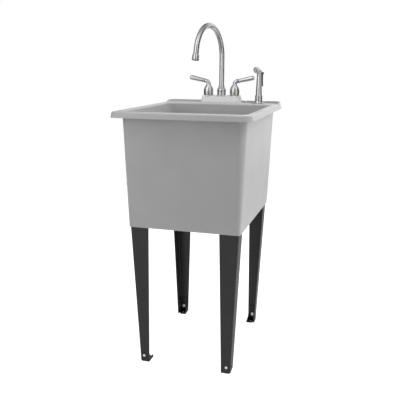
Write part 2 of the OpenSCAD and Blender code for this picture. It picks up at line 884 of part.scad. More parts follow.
// Lever axis of the cold handle: it leaves the neck's bend outwards and a little upwards
elbow_x = neck_bend * (1 - sin(lever_rise));
elbow_z = neck_z + neck_bend * cos(lever_rise);
module at_lever(along) {
    translate([elbow_x, 0, elbow_z])
        rotate([0, 90 - lever_rise, 0])
            translate([0, 0, along])
                children();
}

bell_gap = 0.8;
bell_cavity_h = 17;
spigot_r = 4.4;
ring_at = 3.6;
lever_at = ring_at + index_w + 2 * thread_fit;
lever_l = (lever_reach - elbow_x) / cos(lever_rise) - lever_at;
spigot_l = 14;
spigot_fit = 0.15;
set_screw_z = hub_z + 4;
set_screw_r = 2.4;
neck_core = 1;
module handle() color("#c3c1bd") {
    difference() {
        union() {
            rotate_extrude()
                polygon([
                    [0, bell_gap], [bell_r - 0.9, bell_gap], [bell_r - 0.4, bell_gap + 1.2], [bell_r, 14],
                    [bell_r - 0.15, 18], [bell_r - 0.7, 22], [bell_r - 1.6, 25], [bell_r - 3, 28.5],
                    [bell_r - 4.8, 31.6], [neck_r + 4, 34.4], [neck_r + 2.2, 37], [neck_r + 0.9, 39.2],
                    [neck_r + seam, neck_z], [0, neck_z]
                ]);
            translate([0, 0, neck_z - 4])
                cylinder(r = neck_r - neck_core, h = 8);
            translate([neck_bend, 0, neck_z])
                rotate([90, 0, 0])
                    rotate([0, 0, 90 + lever_rise])
                        rotate_extrude(angle = 90 - lever_rise)
                            translate([neck_bend, 0])
                                circle(neck_r);
            at_lever(0)
                rotate_extrude()
                    polygon([
                        [0, -4], [neck_r - neck_core, -4], [neck_r - neck_core, 0], [neck_r + seam, 0],
                        [lever_r0, ring_at], [spigot_r, ring_at],
                        [spigot_r, lever_at + spigot_l], [0, lever_at + spigot_l]
                    ]);
        }
        translate([0, 0, -1])
            cylinder(r = bell_r - 2.2, h = bell_cavity_h + 1);
        translate([0, 0, bell_cavity_h - 1])
            cylinder(r = neck_hole_r, h = hub_z - bell_cavity_h + 1);
        cylinder(r = stem_r + run_fit, h = stem_up + seat);
        translate([0, 0, set_screw_z])
            rotate([-90, 0, 0])
                cylinder(r = set_screw_r + run_fit, h = bell_r + 2);
    }
}

module set_screw() color("dimgray") {
    translate([0, stem_r + seat, set_screw_z])
        rotate([-90, 0, 0])
            difference() {
                cylinder(r = set_screw_r, h = 8);
                translate([0, 0, 5])
                    cylinder(r = 1.4, h = 4, $fn = 6);
            }
}

module index_ring() {
    at_lever(ring_at + thread_fit)
        rotate_extrude()
            polygon([
                [spigot_r + spigot_fit, 0], [lever_r0, 0], [lever_r0 + 0.5, 0.5],
                [lever_r0 + 0.5, index_w - 0.5], [lever_r0, index_w], [spigot_r + spigot_fit, index_w]
            ]);
}

module lever() color("#c3c1bd") {
    tip = lever_l;
    at_lever(lever_at)
        rotate_extrude()
            polygon([
                [0, spigot_l + seat], [spigot_r + spigot_fit, spigot_l + seat], [spigot_r + spigot_fit, 0],
                [lever_r0 - 0.4, 0], [lever_r0, 0.4],
                [lever_r1, tip - 6.5], [lever_r1 - 0.3, tip - 4.4], [lever_r1 - 1.4, tip - 2.2],
                [lever_r1 - 3.2, tip - 0.7], [lever_r1 - 5.2, tip - 0.1], [0, tip]
            ]);
}

// Bell-shaped nut that holds the spout down on its socket
module spout_nut() color("#c3c1bd") {
    neck = spout_r + 2.4;
    translate([0, faucet_y, block_top])
        difference() {
            rotate_extrude()
                polygon([
                    [0, 0], [nut_r - 0.6, 0], [nut_r - 0.2, 1], [nut_r - 0.4, 12], [nut_r, 19],
                    [nut_r - 0.2, 21.6], [nut_r - 1.2, 24], [nut_r - 3, 26], [neck + 0.6, 27.6],
                    [neck - 0.2, 29], [neck + 0.6, 30.6], [neck + 0.4, nut_h - 2],
                    [neck - 0.6, nut_h - 0.6], [neck - 1.6, nut_h], [0, nut_h]
                ]);
            translate([0, 0, -1])
                cylinder(r = spout_hole_r, h = neck_up + collar_h + 2 * seat + 1);
            cylinder(r = spout_r + run_fit, h = nut_h + 1);
        }
}

// The spout is drawn straight ahead and swung about its riser
module at_spout() {
    translate([0, faucet_y, 0])
        rotate([0, 0, -spout_swing])
            children();
}
arch_z = block_top + spout_rise;
module at_spout_end() {
    translate([0, spout_bend * (cos(spout_sweep) - 1), arch_z + spout_bend * sin(spout_sweep)])
        rotate([spout_sweep, 0, 0])
            children();
}
module spout() color("#c3c1bd") {
    inner = spout_r - spout_wall;
    collar_low = block_top + neck_up + seat - spout_low;
    riser = arch_z - spout_low;
    at_spout() {
        translate([0, 0, spout_low])
            rotate_extrude()
                polygon([
                    [inner, 0], [spout_r, 0], [spout_r, collar_low], [spout_hole_r - 0.8, collar_low],
                    [spout_hole_r - 0.8, collar_low + collar_h], [spout_r, collar_low + collar_h],
                    [spout_r, riser], [inner, riser]
                ]);
        translate([0, -spout_bend, arch_z])
            rotate([90, 0, 90])
                rotate_extrude(angle = spout_sweep)
                    translate([spout_bend, 0])
                        difference() {
                            circle(spout_r);
                            circle(inner);
                        }
        at_spout_end()
            rotate_extrude()
                polygon([
                    [inner - tail_seam, 0], [spout_r + tail_seam, 0],
                    [spout_r + tail_seam, spout_tail], [inner - tail_seam, spout_tail]
                ]);
    }
}

module aerator() color("#b9b7b3") {
    start = spout_tail - 3;
    at_spout()
        at_spout_end()
            translate([0, 0, start])
                difference() {
                    rotate_extrude()
                        polygon([
                            [0, 0], [spout_r + 0.6, 0], [spout_r + 1, 0.6], [aerator_r - 0.4, 3.4], [aerator_r, 4.6],
                            [aerator_r - 0.3, aerator_l - 5.4], [aerator_r - 0.3, aerator_l - 4.8],
                            [aerator_r + 0.1, aerator_l - 4.4], [aerator_r + 0.1, aerator_l - 0.8],
                            [aerator_r - 0.7, aerator_l], [0, aerator_l]
                        ]);
                    translate([0, 0, -1])
                        cylinder(r = spout_r + thread_fit, h = 4.2);
                    translate([0, 0, -1])
                        cylinder(r = spout_r - 2, h = aerator_l - 5);
                    for (i = [0:11])
                        rotate([0, 0, 30 * i])
                            translate([spout_r - 3.4, 0, aerator_l - 7])
                                cylinder(r = 1, h = 5);
                    translate([0, 0, aerator_l - 3])
                        cylinder(r = aerator_r - 2.4, h = 4);
                }
}

// Side spray: a holder through the deck, and a wand that lifts out of it
holder_top = rim_z + holder_h;
holder_tail_r = 12.1;
holder_tail = 30;
ledge_z = rim_z + 4;
module at_spray() {
    translate([spray_x, faucet_y, 0])
        rotate([0, 0, -spray_turn])
            children();
}
module spray_holder() color("#c3c1bd") {
    translate([spray_x, faucet_y, 0])
        difference() {
            union() {
                translate([0, 0, rim_z])
                    rotate_extrude()
                        polygon([
                            [0, 0], [holder_flange_r, 0], [holder_flange_r - 0.4, 1.2],
                            [holder_flange_r - 2, 2.2], [holder_r + 5, 3.2], [holder_r + 2.2, 4.4],
                            [holder_r + 0.6, 7], [holder_r, 10], [holder_r - 0.2, holder_h - 5],
                            [holder_r + 0.2, holder_h - 3], [holder_r, holder_h - 0.8],
                            [holder_r - 0.6, holder_h], [0, holder_h]
                        ]);
                translate([0, 0, rim_z - wall - holder_tail])
                    cylinder(r = holder_tail_r, h = wall + holder_tail + 1);
            }
            translate([0, 0, ledge_z])
                cylinder(r = wand_r - 0.6 + seat, h = holder_h);
            translate([0, 0, rim_z - wall - holder_tail - 1])
                cylinder(r = 10.4, h = holder_tail + wall + holder_h);
        }
}
module spray_holder_nut() color("whitesmoke") {
    translate([spray_x, faucet_y, rim_z - wall - 8])
        difference() {
            cylinder(r = holder_tail_r + 1.3, h = 8);
            translate([0, 0, -1])
                cylinder(r = holder_tail_r + run_fit, h = 10);
        }
}

neck_at = holder_top + wand_h;
face_z = neck_at + 14;
pin_r = 1.3;
pin_press = 0.02;
pin_run = 0.06;
pin_y = wand_neck_r + 5.2;
pin_z = neck_at + 4;
ear_t = 2.2;
trigger_w = 12;
module wand_axis_solid() {
    rotate_extrude()
        polygon([
            [0, ledge_z + seat], [wand_r - 0.9, ledge_z + seat], [wand_r - 0.6, ledge_z + 1.6],
            [wand_r - 0.6, holder_top + 0.4], [wand_r + 0.2, holder_top + 0.4], [wand_r + 0.2, holder_top + 2],
            [wand_r - 0.4, holder_top + 3], [wand_r - 1.4, holder_top + 30],
            [wand_neck_r + 0.5, neck_at - 16], [wand_neck_r, neck_at], [0, neck_at]
        ]);
}
module spray_wand() color("#c3c1bd") {
    at_spray()
        difference() {
            union() {
                wand_axis_solid();
                hull() {
                    translate([0, 0, neck_at - 1])
                        cylinder(r = wand_neck_r, h = 1, $fn = 32);
                    translate([0, 1, neck_at + 9])
                        sphere(r = wand_neck_r + 0.6, $fn = 32);
                }
                hull() {
                    translate([0, 1, neck_at + 9])
                        sphere(r = wand_neck_r + 0.6, $fn = 32);
                    translate([0, -face_reach, face_z])
                        rotate([90 + face_tilt, 0, 0])
                            translate([0, 0, -5])
                                cylinder(r1 = face_r - 1.2, r2 = face_r, h = 4, $fn = 32);
                }
                for (x = [-trigger_w / 2 - ear_t - seat, trigger_w / 2 + seat])
                    translate([x, 0, pin_z])
                        rotate([90, 0, 90])
                            linear_extrude(ear_t) {
                                translate([pin_y, 0])
                                    circle(pin_r + 2);
                                translate([0, -pin_r - 2])
                                    square([pin_y, 2 * pin_r + 4]);
                            }
            }
            translate([-20, pin_y, pin_z])
                rotate([0, 90, 0])
                    cylinder(r = pin_r + pin_press, h = 40);
            translate([0, 0, ledge_z - 1])
                cylinder(r = 6.2, h = 20);
        }
}

module spray_face() color("#9b9b98") {
    at_spray()
        translate([0, -face_reach, face_z])
            rotate([90 + face_tilt, 0, 0])
                translate([0, 0, -1 + seat * 0.5])
                    difference() {
                        rotate_extrude()
                            polygon([
                                [0, 0], [face_r - 0.4, 0], [face_r, 0.6], [face_r - 0.2, 2],
                                [face_r - 1.4, 3], [face_r - 3, 3.2], [face_r - 4, 2.4], [0, 2.6]
                            ]);
                        for (ring_n = [[8, 6.4], [4, 3]])
                            for (i = [0:ring_n[0] - 1])
                                rotate([0, 0, 360 * i / ring_n[0]])
                                    translate([ring_n[1], 0, 1])
                                        cylinder(r = 0.7, h = 3, $fn = 16);
                    }
}

module spray_hose_nut() color("#c3c1bd") {
    translate([spray_x, faucet_y, 0])
        difference() {
            union() {
                translate([0, 0, ledge_z - 12])
                    cylinder(r = 9, h = 12, $fn = 24);
                translate([0, 0, ledge_z - 2])
                    cylinder(r = 6, h = 18);
            }
            translate([0, 0, ledge_z - 13])
                cylinder(r = 3.4, h = 40);
        }
}

trigger_low = holder_top + 34;
// The lever stands off the wand far enough to be pressed through its travel
trigger_off = (pin_z - trigger_low) * sin(trigger_travel);
module spray_trigger() color("#c3c1bd") {
    at_spray()
        difference() {
            union() {
                translate([-trigger_w / 2, pin_y, pin_z])
                    rotate([0, 90, 0])
                        cylinder(r = pin_r + 2, h = trigger_w);
                translate([-trigger_w / 2, 0, 0])
                    rotate([90, 0, 90])
                        linear_extrude(trigger_w)
                            polygon([
                                [pin_y - 2.2, pin_z - 1], [pin_y + 2.8, pin_z],
                                [wand_neck_r + trigger_off + 2.8, neck_at - 8],
                                [wand_neck_r + trigger_off + 2.8, neck_at - 24],
                                [wand_r + trigger_off + 0.8, trigger_low + 6],
                                [wand_r + trigger_off + 2.4, trigger_low],
                                [wand_r + trigger_off + 0.2, trigger_low - 0.6],
                                [wand_r + trigger_off - 1.6, trigger_low + 6],
                                [wand_neck_r + trigger_off + 0.2, neck_at - 24],
                                [wand_neck_r + trigger_off, neck_at - 8]
                            ]);
            }
            translate([-trigger_w, pin_y, pin_z])
                rotate([0, 90, 0])
                    cylinder(r = pin_r + pin_run, h = 2 * trigger_w);
        }
}
module spray_trigger_pin() color("dimgray") {
    half = trigger_w / 2 + seat + ear_t;
    at_spray()
        translate([-half, pin_y, pin_z])
            rotate([0, 90, 0])
                cylinder(r = pin_r, h = 2 * half);
}

tub();
for (name = CORNERS) {
    at_corner(name) leg();
    at_corner(name) leg_screws();
    at_corner(name) foot();
}
drain_strainer();
drain_gasket();
drain_washer();
drain_locknut();
tailpiece();
tailpiece_nut();
stopper();
valve_body();
for (side = ["hot", "cold"]) {
    at_valve(side) cartridge();
    at_valve(side) valve_locknut();
    at_valve(side) stem();
    at_valve(side) handle();
    at_valve(side) lever();
    at_valve(side) set_screw();
    color(side == "hot" ? "#c4524c" : "#3f63c8") at_valve(side) index_ring();
}
spout_nut();
spout();
aerator();
spray_holder();
spray_holder_nut();
spray_wand();
spray_hose_nut();
spray_face();
spray_trigger();
spray_trigger_pin();
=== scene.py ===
# Free-standing utility laundry sink: looks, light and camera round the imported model
import json
import math

import bmesh
import bpy
from mathutils import Matrix, Vector


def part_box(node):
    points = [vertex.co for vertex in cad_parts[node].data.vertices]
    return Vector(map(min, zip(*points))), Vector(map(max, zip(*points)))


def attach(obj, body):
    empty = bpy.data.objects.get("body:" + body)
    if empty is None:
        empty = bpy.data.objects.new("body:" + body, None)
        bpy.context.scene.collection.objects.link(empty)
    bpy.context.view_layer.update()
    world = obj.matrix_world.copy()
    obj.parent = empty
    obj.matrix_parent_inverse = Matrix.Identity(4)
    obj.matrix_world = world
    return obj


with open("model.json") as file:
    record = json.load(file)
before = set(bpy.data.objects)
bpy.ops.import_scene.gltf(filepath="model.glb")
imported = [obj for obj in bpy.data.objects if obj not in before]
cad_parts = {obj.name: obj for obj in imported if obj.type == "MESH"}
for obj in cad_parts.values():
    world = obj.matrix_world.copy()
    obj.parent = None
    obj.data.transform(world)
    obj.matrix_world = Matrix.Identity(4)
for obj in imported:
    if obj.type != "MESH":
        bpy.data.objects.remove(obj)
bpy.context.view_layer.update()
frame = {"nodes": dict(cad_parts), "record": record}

NODES = frame["nodes"]
MM = 0.001

# The even level of light on the object, and the square lamps that face the tub's middle from one distance,
# as (azimuth, height) in degrees and watts
TUB_MIDDLE = Vector((0, 0, 0.7))
AMBIENT = 0.24
LAMP_REACH = 2.6
LAMP_SIZE = 1.6
LAMPS = {(0, 12): 17, (0, 48): 8, (-30, 48): 10, (-150, 12): 4, (-150, 48): 12, (0, 89): 20, (40, 30): 15}

# The room that shiny pieces reflect: azimuth, half width, lowest and highest angle in degrees, and brightness
# of each field. Its edges fade over 8 degrees to either side, above a dark level all round.
ROOM_LEVEL = 0.03
ROOM_FADE = 8
ROOM = {
    "left_softbox": (-120, 16, -20, 70, 1.65),
    "right_softbox": (-38, 13, -20, 70, 1.05),
    "front_wall": (-80, 56, -50, 24, 0.33),
    "front_ceiling": (-80, 100, 24, 90, 0.15),
    "ceiling": (-80, 168, 34, 90, 0.45),
    "left_wall": (-172, 30, 8, 40, 0.4),
    "back_wall": (80, 30, -12, 34, 1.15),
}


# Camera, solved from the sink's straight edges and known sizes
def place_camera():
    photo_width = 400
    focal_pixels = 583.26
    yaw, pitch, roll = 0.2835, 0.2304, 0.00544
    forward = Vector((-math.sin(yaw) * math.cos(pitch), math.cos(yaw) * math.cos(pitch), -math.sin(pitch)))
    level = Vector((math.cos(yaw), math.sin(yaw), 0))
    upward = level.cross(forward)
    right = level * math.cos(roll) + upward * math.sin(roll)
    above = upward * math.cos(roll) - level * math.sin(roll)
    data = bpy.data.cameras.new("camera")
    data.sensor_width = 36
    data.lens = 36 * focal_pixels / photo_width
    data.clip_start = 0.05
    camera = bpy.data.objects.new("camera", data)
    turn = Matrix((right, above, -forward)).transposed().to_4x4()
    camera.matrix_world = Matrix.Translation((0.55181, -1.94110, 1.00686)) @ turn
    bpy.context.scene.collection.objects.link(camera)
    bpy.context.scene.camera = camera


# Colours and shader trees
def colour(code):
    """An sRGB hex colour as linear red, green, blue and alpha."""
    parts = [int(code[i : i + 2], 16) / 255 for i in (1, 3, 5)]
    return tuple(p / 12.92 if p <= 0.04045 else ((p + 0.055) / 1.055) ** 2.4 for p in parts) + (1.0,)


def add(tree, kind, inputs=None, **settings):
    """Add a node to a tree, set its fields, then fill or link its inputs."""
    node = tree.nodes.new(kind)
    for name, value in settings.items():
        setattr(node, name, value)
    for name, value in (inputs or {}).items():
        if isinstance(value, bpy.types.NodeSocket):
            tree.links.new(value, node.inputs[name])
        else:
            node.inputs[name].default_value = value
    return node


def start_material(name):
    material = bpy.data.materials.new(name)
    material.use_nodes = True
    material.node_tree.nodes.clear()
    tree = material.node_tree
    here = add(tree, "ShaderNodeTexCoord").outputs["Object"]
    return material, tree, here


def end_material(tree, **inputs):
    surface = add(tree, "ShaderNodeBsdfPrincipled", {name.replace("_", " "): v for name, v in inputs.items()})
    add(tree, "ShaderNodeOutputMaterial", {"Surface": surface.outputs["BSDF"]})


def patches(tree, here, size, detail, stretch=None):
    """Soft noise whose patches are about size metres across."""
    if stretch:
        here = add(tree, "ShaderNodeMapping", {"Vector": here, "Scale": stretch}).outputs["Vector"]
    noise = add(tree, "ShaderNodeTexNoise", {"Vector": here, "Scale": 1 / size, "Detail": detail})
    return noise.outputs["Fac"]


def between(tree, mask, low, high, dark, light):
    """Blend two colours by a mask, from dark at low to light at high."""
    ramp = add(tree, "ShaderNodeValToRGB", {"Fac": mask})
    ramp.color_ramp.elements[0].position = low
    ramp.color_ramp.elements[1].position = high
    ramp.color_ramp.elements[0].color = colour(dark)
    ramp.color_ramp.elements[1].color = colour(light)
    return ramp.outputs["Color"]


def spread(tree, mask, low, high):
    """Carry a mask of 0 to 1 into the range from low to high."""
    return add(tree, "ShaderNodeMapRange", {"Value": mask, "To Min": low, "To Max": high}).outputs["Result"]


def raised(tree, height, depth, strength):
    bump = add(tree, "ShaderNodeBump", {"Height": height, "Distance": depth, "Strength": strength})
    return bump.outputs["Normal"]


# Rotationally moulded or injected polypropylene: an even light grey with a fine matt grain off the mould.
# The grain is under half a millimetre on the real tub, and is drawn at 1.6 mm so that it shows.
def grey_polypropylene():
    material, tree, here = start_material("grey_polypropylene")
    cloud = patches(tree, here, 0.11, 4)
    grain = patches(tree, here, 1.6 * MM, 2)
    end_material(
        tree,
        Base_Color=between(tree, cloud, 0.3, 0.7, "#BBBBBB", "#C1C1C1"),
        Roughness=spread(tree, grain, 0.32, 0.42),
        Normal=raised(tree, grain, 0.12 * MM, 0.5),
        IOR=1.49,
    )
    return material


# Sheet steel with a black polyester powder coat: near black, half matt, with an orange-peel surface
# whose bumps are about 2 mm across
def black_powder_coat(name="black_powder_coat", dark="#17171A", light="#1F1F21"):
    material, tree, here = start_material(name)
    peel = patches(tree, here, 2.2 * MM, 2)
    dust = patches(tree, here, 0.03, 5)
    end_material(
        tree,
        Base_Color=between(tree, dust, 0.35, 0.7, dark, light),
        Roughness=spread(tree, dust, 0.38, 0.52),
        Normal=raised(tree, peel, 0.25 * MM, 0.6),
        IOR=1.5,
    )
    return material


# Zinc-plated steel: pale grey metal with faint yellow and blue tones, a little rough from the barrel
def zinc_plate():
    material, tree, here = start_material("zinc_plated_steel")
    tone = patches(tree, here, 4 * MM, 3)
    end_material(
        tree,
        Base_Color=between(tree, tone, 0.3, 0.7, "#E4E5E6", "#F0EFEC"),
        Metallic=1.0,
        Roughness=spread(tree, tone, 0.28, 0.42),
    )
    return material


# Brushed nickel plate over brass or plastic: warm pale metal, satin, with fine lines round the turned pieces.
# The lines are about 0.1 mm apart in reality and are drawn at 0.8 mm.
def brushed_nickel(name="brushed_nickel"):
    material, tree, here = start_material(name)
    lines = patches(tree, here, 0.8 * MM, 2, (0.12, 0.12, 1.0))
    tone = patches(tree, here, 0.03, 3)
    end_material(
        tree,
        Base_Color=between(tree, tone, 0.3, 0.7, "#C8C7C6", "#D0CFCE"),
        Metallic=1.0,
        Roughness=spread(tree, lines, 0.24, 0.32),
    )
    return material


# Satin stainless steel: grey metal with fine streaks down its sides that blur the reflections
def satin_stainless():
    material, tree, here = start_material("spun_stainless_steel")
    lines = patches(tree, here, 1.0 * MM, 2, (1.0, 1.0, 0.2))
    end_material(
        tree,
        Base_Color=between(tree, lines, 0.3, 0.7, "#B3B4B5", "#C2C2C2"),
        Metallic=1.0,
        Roughness=spread(tree, lines, 0.22, 0.36),
    )
    return material


# Cast and turned yellow brass, unpolished: warm yellow metal with a dull cast skin
def plain_brass():
    material, tree, here = start_material("plain_brass")
    skin = patches(tree, here, 3 * MM, 4)
    end_material(
        tree,
        Base_Color=between(tree, skin, 0.3, 0.7, "#B08A45", "#C9A75E"),
        Metallic=1.0,
        Roughness=spread(tree, skin, 0.26, 0.45),
        Normal=raised(tree, skin, 0.08 * MM, 0.4),
    )
    return material


# White polypropylene fittings: milky, slightly translucent plastic with a satin skin
def white_polypropylene():
    material, tree, here = start_material("white_polypropylene")
    cloud = patches(tree, here, 9 * MM, 3)
    end_material(
        tree,
        Base_Color=between(tree, cloud, 0.3, 0.7, "#DAD9D3", "#E6E5E0"),
        Roughness=spread(tree, cloud, 0.35, 0.48),
        Subsurface_Weight=0.08,
        Subsurface_Scale=0.002,
        IOR=1.49,
    )
    return material


# Moulded black rubber: dark, matt, with a dusty bloom
def black_rubber():
    material, tree, here = start_material("black_rubber")
    bloom = patches(tree, here, 6 * MM, 4)
    end_material(
        tree,
        Base_Color=between(tree, bloom, 0.3, 0.75, "#191919", "#262625"),
        Roughness=spread(tree, bloom, 0.55, 0.75),
        IOR=1.52,
    )
    return material


# Glossy acrylic rings that mark hot and cold
def marker_acrylic(name, dark, light):
    material, tree, here = start_material(name)
    cloud = patches(tree, here, 2 * MM, 2)
    end_material(
        tree,
        Base_Color=between(tree, cloud, 0.3, 0.7, dark, light),
        Roughness=0.25,
        IOR=1.49,
    )
    return material


# Grey ABS of the spray face: satin, moulded
def grey_abs():
    material, tree, here = start_material("grey_abs")
    grain = patches(tree, here, 0.8 * MM, 2)
    end_material(
        tree,
        Base_Color=between(tree, grain, 0.2, 0.8, "#E3E4E5", "#ECECED"),
        Roughness=spread(tree, grain, 0.35, 0.5),
        IOR=1.53,
    )
    return material


def dress_nodes():
    """Give each CAD node its procedural material, by the record's material slot."""
    by_slot = {
        "tub_plastic": grey_polypropylene(),
        "leg_steel": black_powder_coat(),
        "foot_steel": black_powder_coat("black_painted_foot", "#151516", "#1D1D1E"),
        "screw_steel": zinc_plate(),
        "drain_steel": satin_stainless(),
        "drain_rubber": black_rubber(),
        "drain_plastic": white_polypropylene(),
        "valve_brass": plain_brass(),
        "faucet_metal": brushed_nickel(),
        "hot_mark": marker_acrylic("red_acrylic", "#C8584E", "#D66A60"),
        "cold_mark": marker_acrylic("blue_acrylic", "#4A7BDC", "#5E8EEA"),
        "spray_plastic": brushed_nickel("plated_abs"),
    }
    face = grey_abs()
    slot_of = {part["node"]: part["material_slot"] for part in frame["record"]["subparts"]}
    for name, node in NODES.items():
        chosen = face if name == "spray_face" else by_slot[slot_of[name]]
        if not node.material_slots:
            node.data.materials.append(chosen)
        for slot in node.material_slots:
            slot.material = chosen
    return by_slot


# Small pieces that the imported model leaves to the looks: helpers first
def piece(name, vertices, faces, material, place, body):
    """A mesh drawn in its own frame, set at a place (a matrix), that rides on a body."""
    mesh = bpy.data.meshes.new(name)
    mesh.from_pydata([place @ Vector(vertex) for vertex in vertices], [], faces)
    finish_piece(name, mesh, material, body)


def finish_piece(name, mesh, material, body):
    """An object from a mesh, with its faces turned outwards and its edges sharp, that rides on a body."""
    shape = bmesh.new()
    shape.from_mesh(mesh)
    bmesh.ops.recalc_face_normals(shape, faces=shape.faces)
    shape.to_mesh(mesh)
    shape.free()
    mesh.materials.clear()
    mesh.materials.append(material)
    mesh.shade_smooth()
    mesh.set_sharp_from_angle(angle=math.radians(32))
    made = bpy.data.objects.new(name, mesh)
    bpy.context.scene.collection.objects.link(made)
    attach(made, body)


def turned(rings, hollow=False, steps=48):
    """A body turned from rings of (radius, height, sides), where 0 sides is round.

    A solid one is closed by a flat at each end, and a hollow one by joining its last ring to its first.
    """
    vertices = []
    for radius, height, sides in rings:
        for step in range(steps):
            turn = 2 * math.pi * step / steps
            reach = radius
            if sides:
                part = 2 * math.pi / sides
                reach = radius * math.cos(part / 2) / math.cos(turn % part - part / 2)
            vertices.append((reach * math.cos(turn), reach * math.sin(turn), height))
    total = len(vertices)
    rows = len(rings) if hollow else len(rings) - 1
    faces = []
    for row in range(rows):
        for step in range(steps):
            after = (step + 1) % steps
            near, far = row * steps, (row + 1) * steps % total
            faces.append((near + step, near + after, far + after, far + step))
    if not hollow:
        faces.append(tuple(range(steps)))
        faces.append(tuple(range(total - steps, total)))
    return vertices, faces


def block(low, high):
    """Vertices and faces of a box between two corners."""
    vertices = [(x, y, z) for x in (low[0], high[0]) for y in (low[1], high[1]) for z in (low[2], high[2])]
    return vertices, [(0, 1, 3, 2), (4, 6, 7, 5), (0, 4, 5, 1), (2, 3, 7, 6), (0, 2, 6, 4), (1, 5, 7, 3)]


def facing(place, normal):
    """A frame at a place with z along the normal and x level."""
    normal = Vector(normal).normalized()
    level = Vector((0, 0, 1)).cross(normal)
    level = level.normalized() if level.length > 0.01 else Vector((1, 0, 0))
    turn = Matrix((level, normal.cross(level), normal)).transposed().to_4x4()
    return Matrix.Translation(place) @ turn


def middle(node):
    low, high = (Vector(corner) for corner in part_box(node))
    return (low + high) / 2


def bottom(node):
    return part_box(node)[0][2]


def widest_flat(node, toward):
    """Middle and normal of a node's largest flat that looks within 60 degrees of toward."""
    shape = NODES[node]
    turn = shape.matrix_world.to_3x3()
    flats = {}
    for face in shape.data.polygons:
        normal = (turn @ face.normal).normalized()
        if normal.dot(Vector(toward)) > 0.5:
            key = tuple(round(value, 2) for value in normal)
            area, moment = flats.get(key, (0, Vector()))
            flats[key] = (area + face.area, moment + shape.matrix_world @ face.center * face.area)
    key, (area, moment) = max(flats.items(), key=lambda flat: flat[1][0])
    return moment / area, Vector(key).normalized()


# Copies of one small form round a ring, each turned to face outwards
def ring_tree():
    tree = bpy.data.node_groups.new("ring_of_copies", "GeometryNodeTree")
    sockets = {"Geometry": "NodeSocketGeometry", "Count": "NodeSocketInt"}
    sockets.update({"Radius": "NodeSocketFloat", "Finish": "NodeSocketMaterial"})
    for name, kind in sockets.items():
        tree.interface.new_socket(name, in_out="INPUT", socket_type=kind)
    tree.interface.new_socket("Geometry", in_out="OUTPUT", socket_type="NodeSocketGeometry")
    given = add(tree, "NodeGroupInput").outputs
    ring = add(tree, "GeometryNodeMeshCircle", {"Vertices": given["Count"], "Radius": given["Radius"]})
    here = add(tree, "GeometryNodeInputPosition").outputs["Position"]
    turn = add(tree, "FunctionNodeAlignRotationToVector", {"Vector": here}, axis="X", pivot_axis="Z")
    form = {"Points": ring.outputs["Mesh"], "Rotation": turn.outputs["Rotation"]}
    form["Instance"] = given["Geometry"]
    copies = add(tree, "GeometryNodeInstanceOnPoints", form).outputs["Instances"]
    real = add(tree, "GeometryNodeRealizeInstances", {"Geometry": copies}).outputs["Geometry"]
    dressed = add(tree, "GeometryNodeSetMaterial", {"Geometry": real, "Material": given["Finish"]})
    add(tree, "NodeGroupOutput", {"Geometry": dressed.outputs["Geometry"]})
    return tree


def ring_of(name, form, count, radius, material, place, body):
    """Copies of a form (vertices and faces) round a ring, baked to one plain mesh on one body."""
    seed = bpy.data.meshes.new(name + "_one")
    seed.from_pydata(form[0], [], form[1])
    maker = bpy.data.objects.new(name + "_maker", seed)
    bpy.context.scene.collection.objects.link(maker)
    modifier = maker.modifiers.new("ring", "NODES")
    modifier.node_group = RING_TREE
    values = {"Count": count, "Radius": radius, "Finish": material}
    for item in RING_TREE.interface.items_tree:
        if item.in_out == "INPUT" and item.name in values:
            modifier[item.identifier] = values[item.name]
    ready = maker.evaluated_get(bpy.context.evaluated_depsgraph_get())
    mesh = bpy.data.meshes.new_from_object(ready)
    maker.modifiers.remove(modifier)
    bpy.data.objects.remove(maker)
    mesh.transform(place)
    finish_piece(name, mesh, material, body)


# Screws that lock the levelling feet: a button head outside each leg, and a washer and a nut inside.
# They stand at one height above the floor, inset from the leg's outer corner, and grip the leg and the foot.
LOCK_HEIGHT = 22 * MM
LOCK_INSET = 14.5 * MM
LOCK_GRIP = 5.2 * MM


def leg_corner(node, right, front, height):
    """Outer corner of a leaning leg at a height, where right and front are 1 or -1 away from the middle."""
    shape = NODES[node]
    points = [shape.matrix_world @ vertex.co for vertex in shape.data.vertices]
    levels = (min(point.z for point in points), max(point.z for point in points))
    ends = []
    for level in levels:
        there = [point for point in points if abs(point.z - level) < MM]
        across = right * max(right * point.x for point in there)
        along = front * max(front * point.y for point in there)
        ends.append(Vector((across, along, level)))
    return ends[0].lerp(ends[1], (height - levels[0]) / (levels[1] - levels[0]))


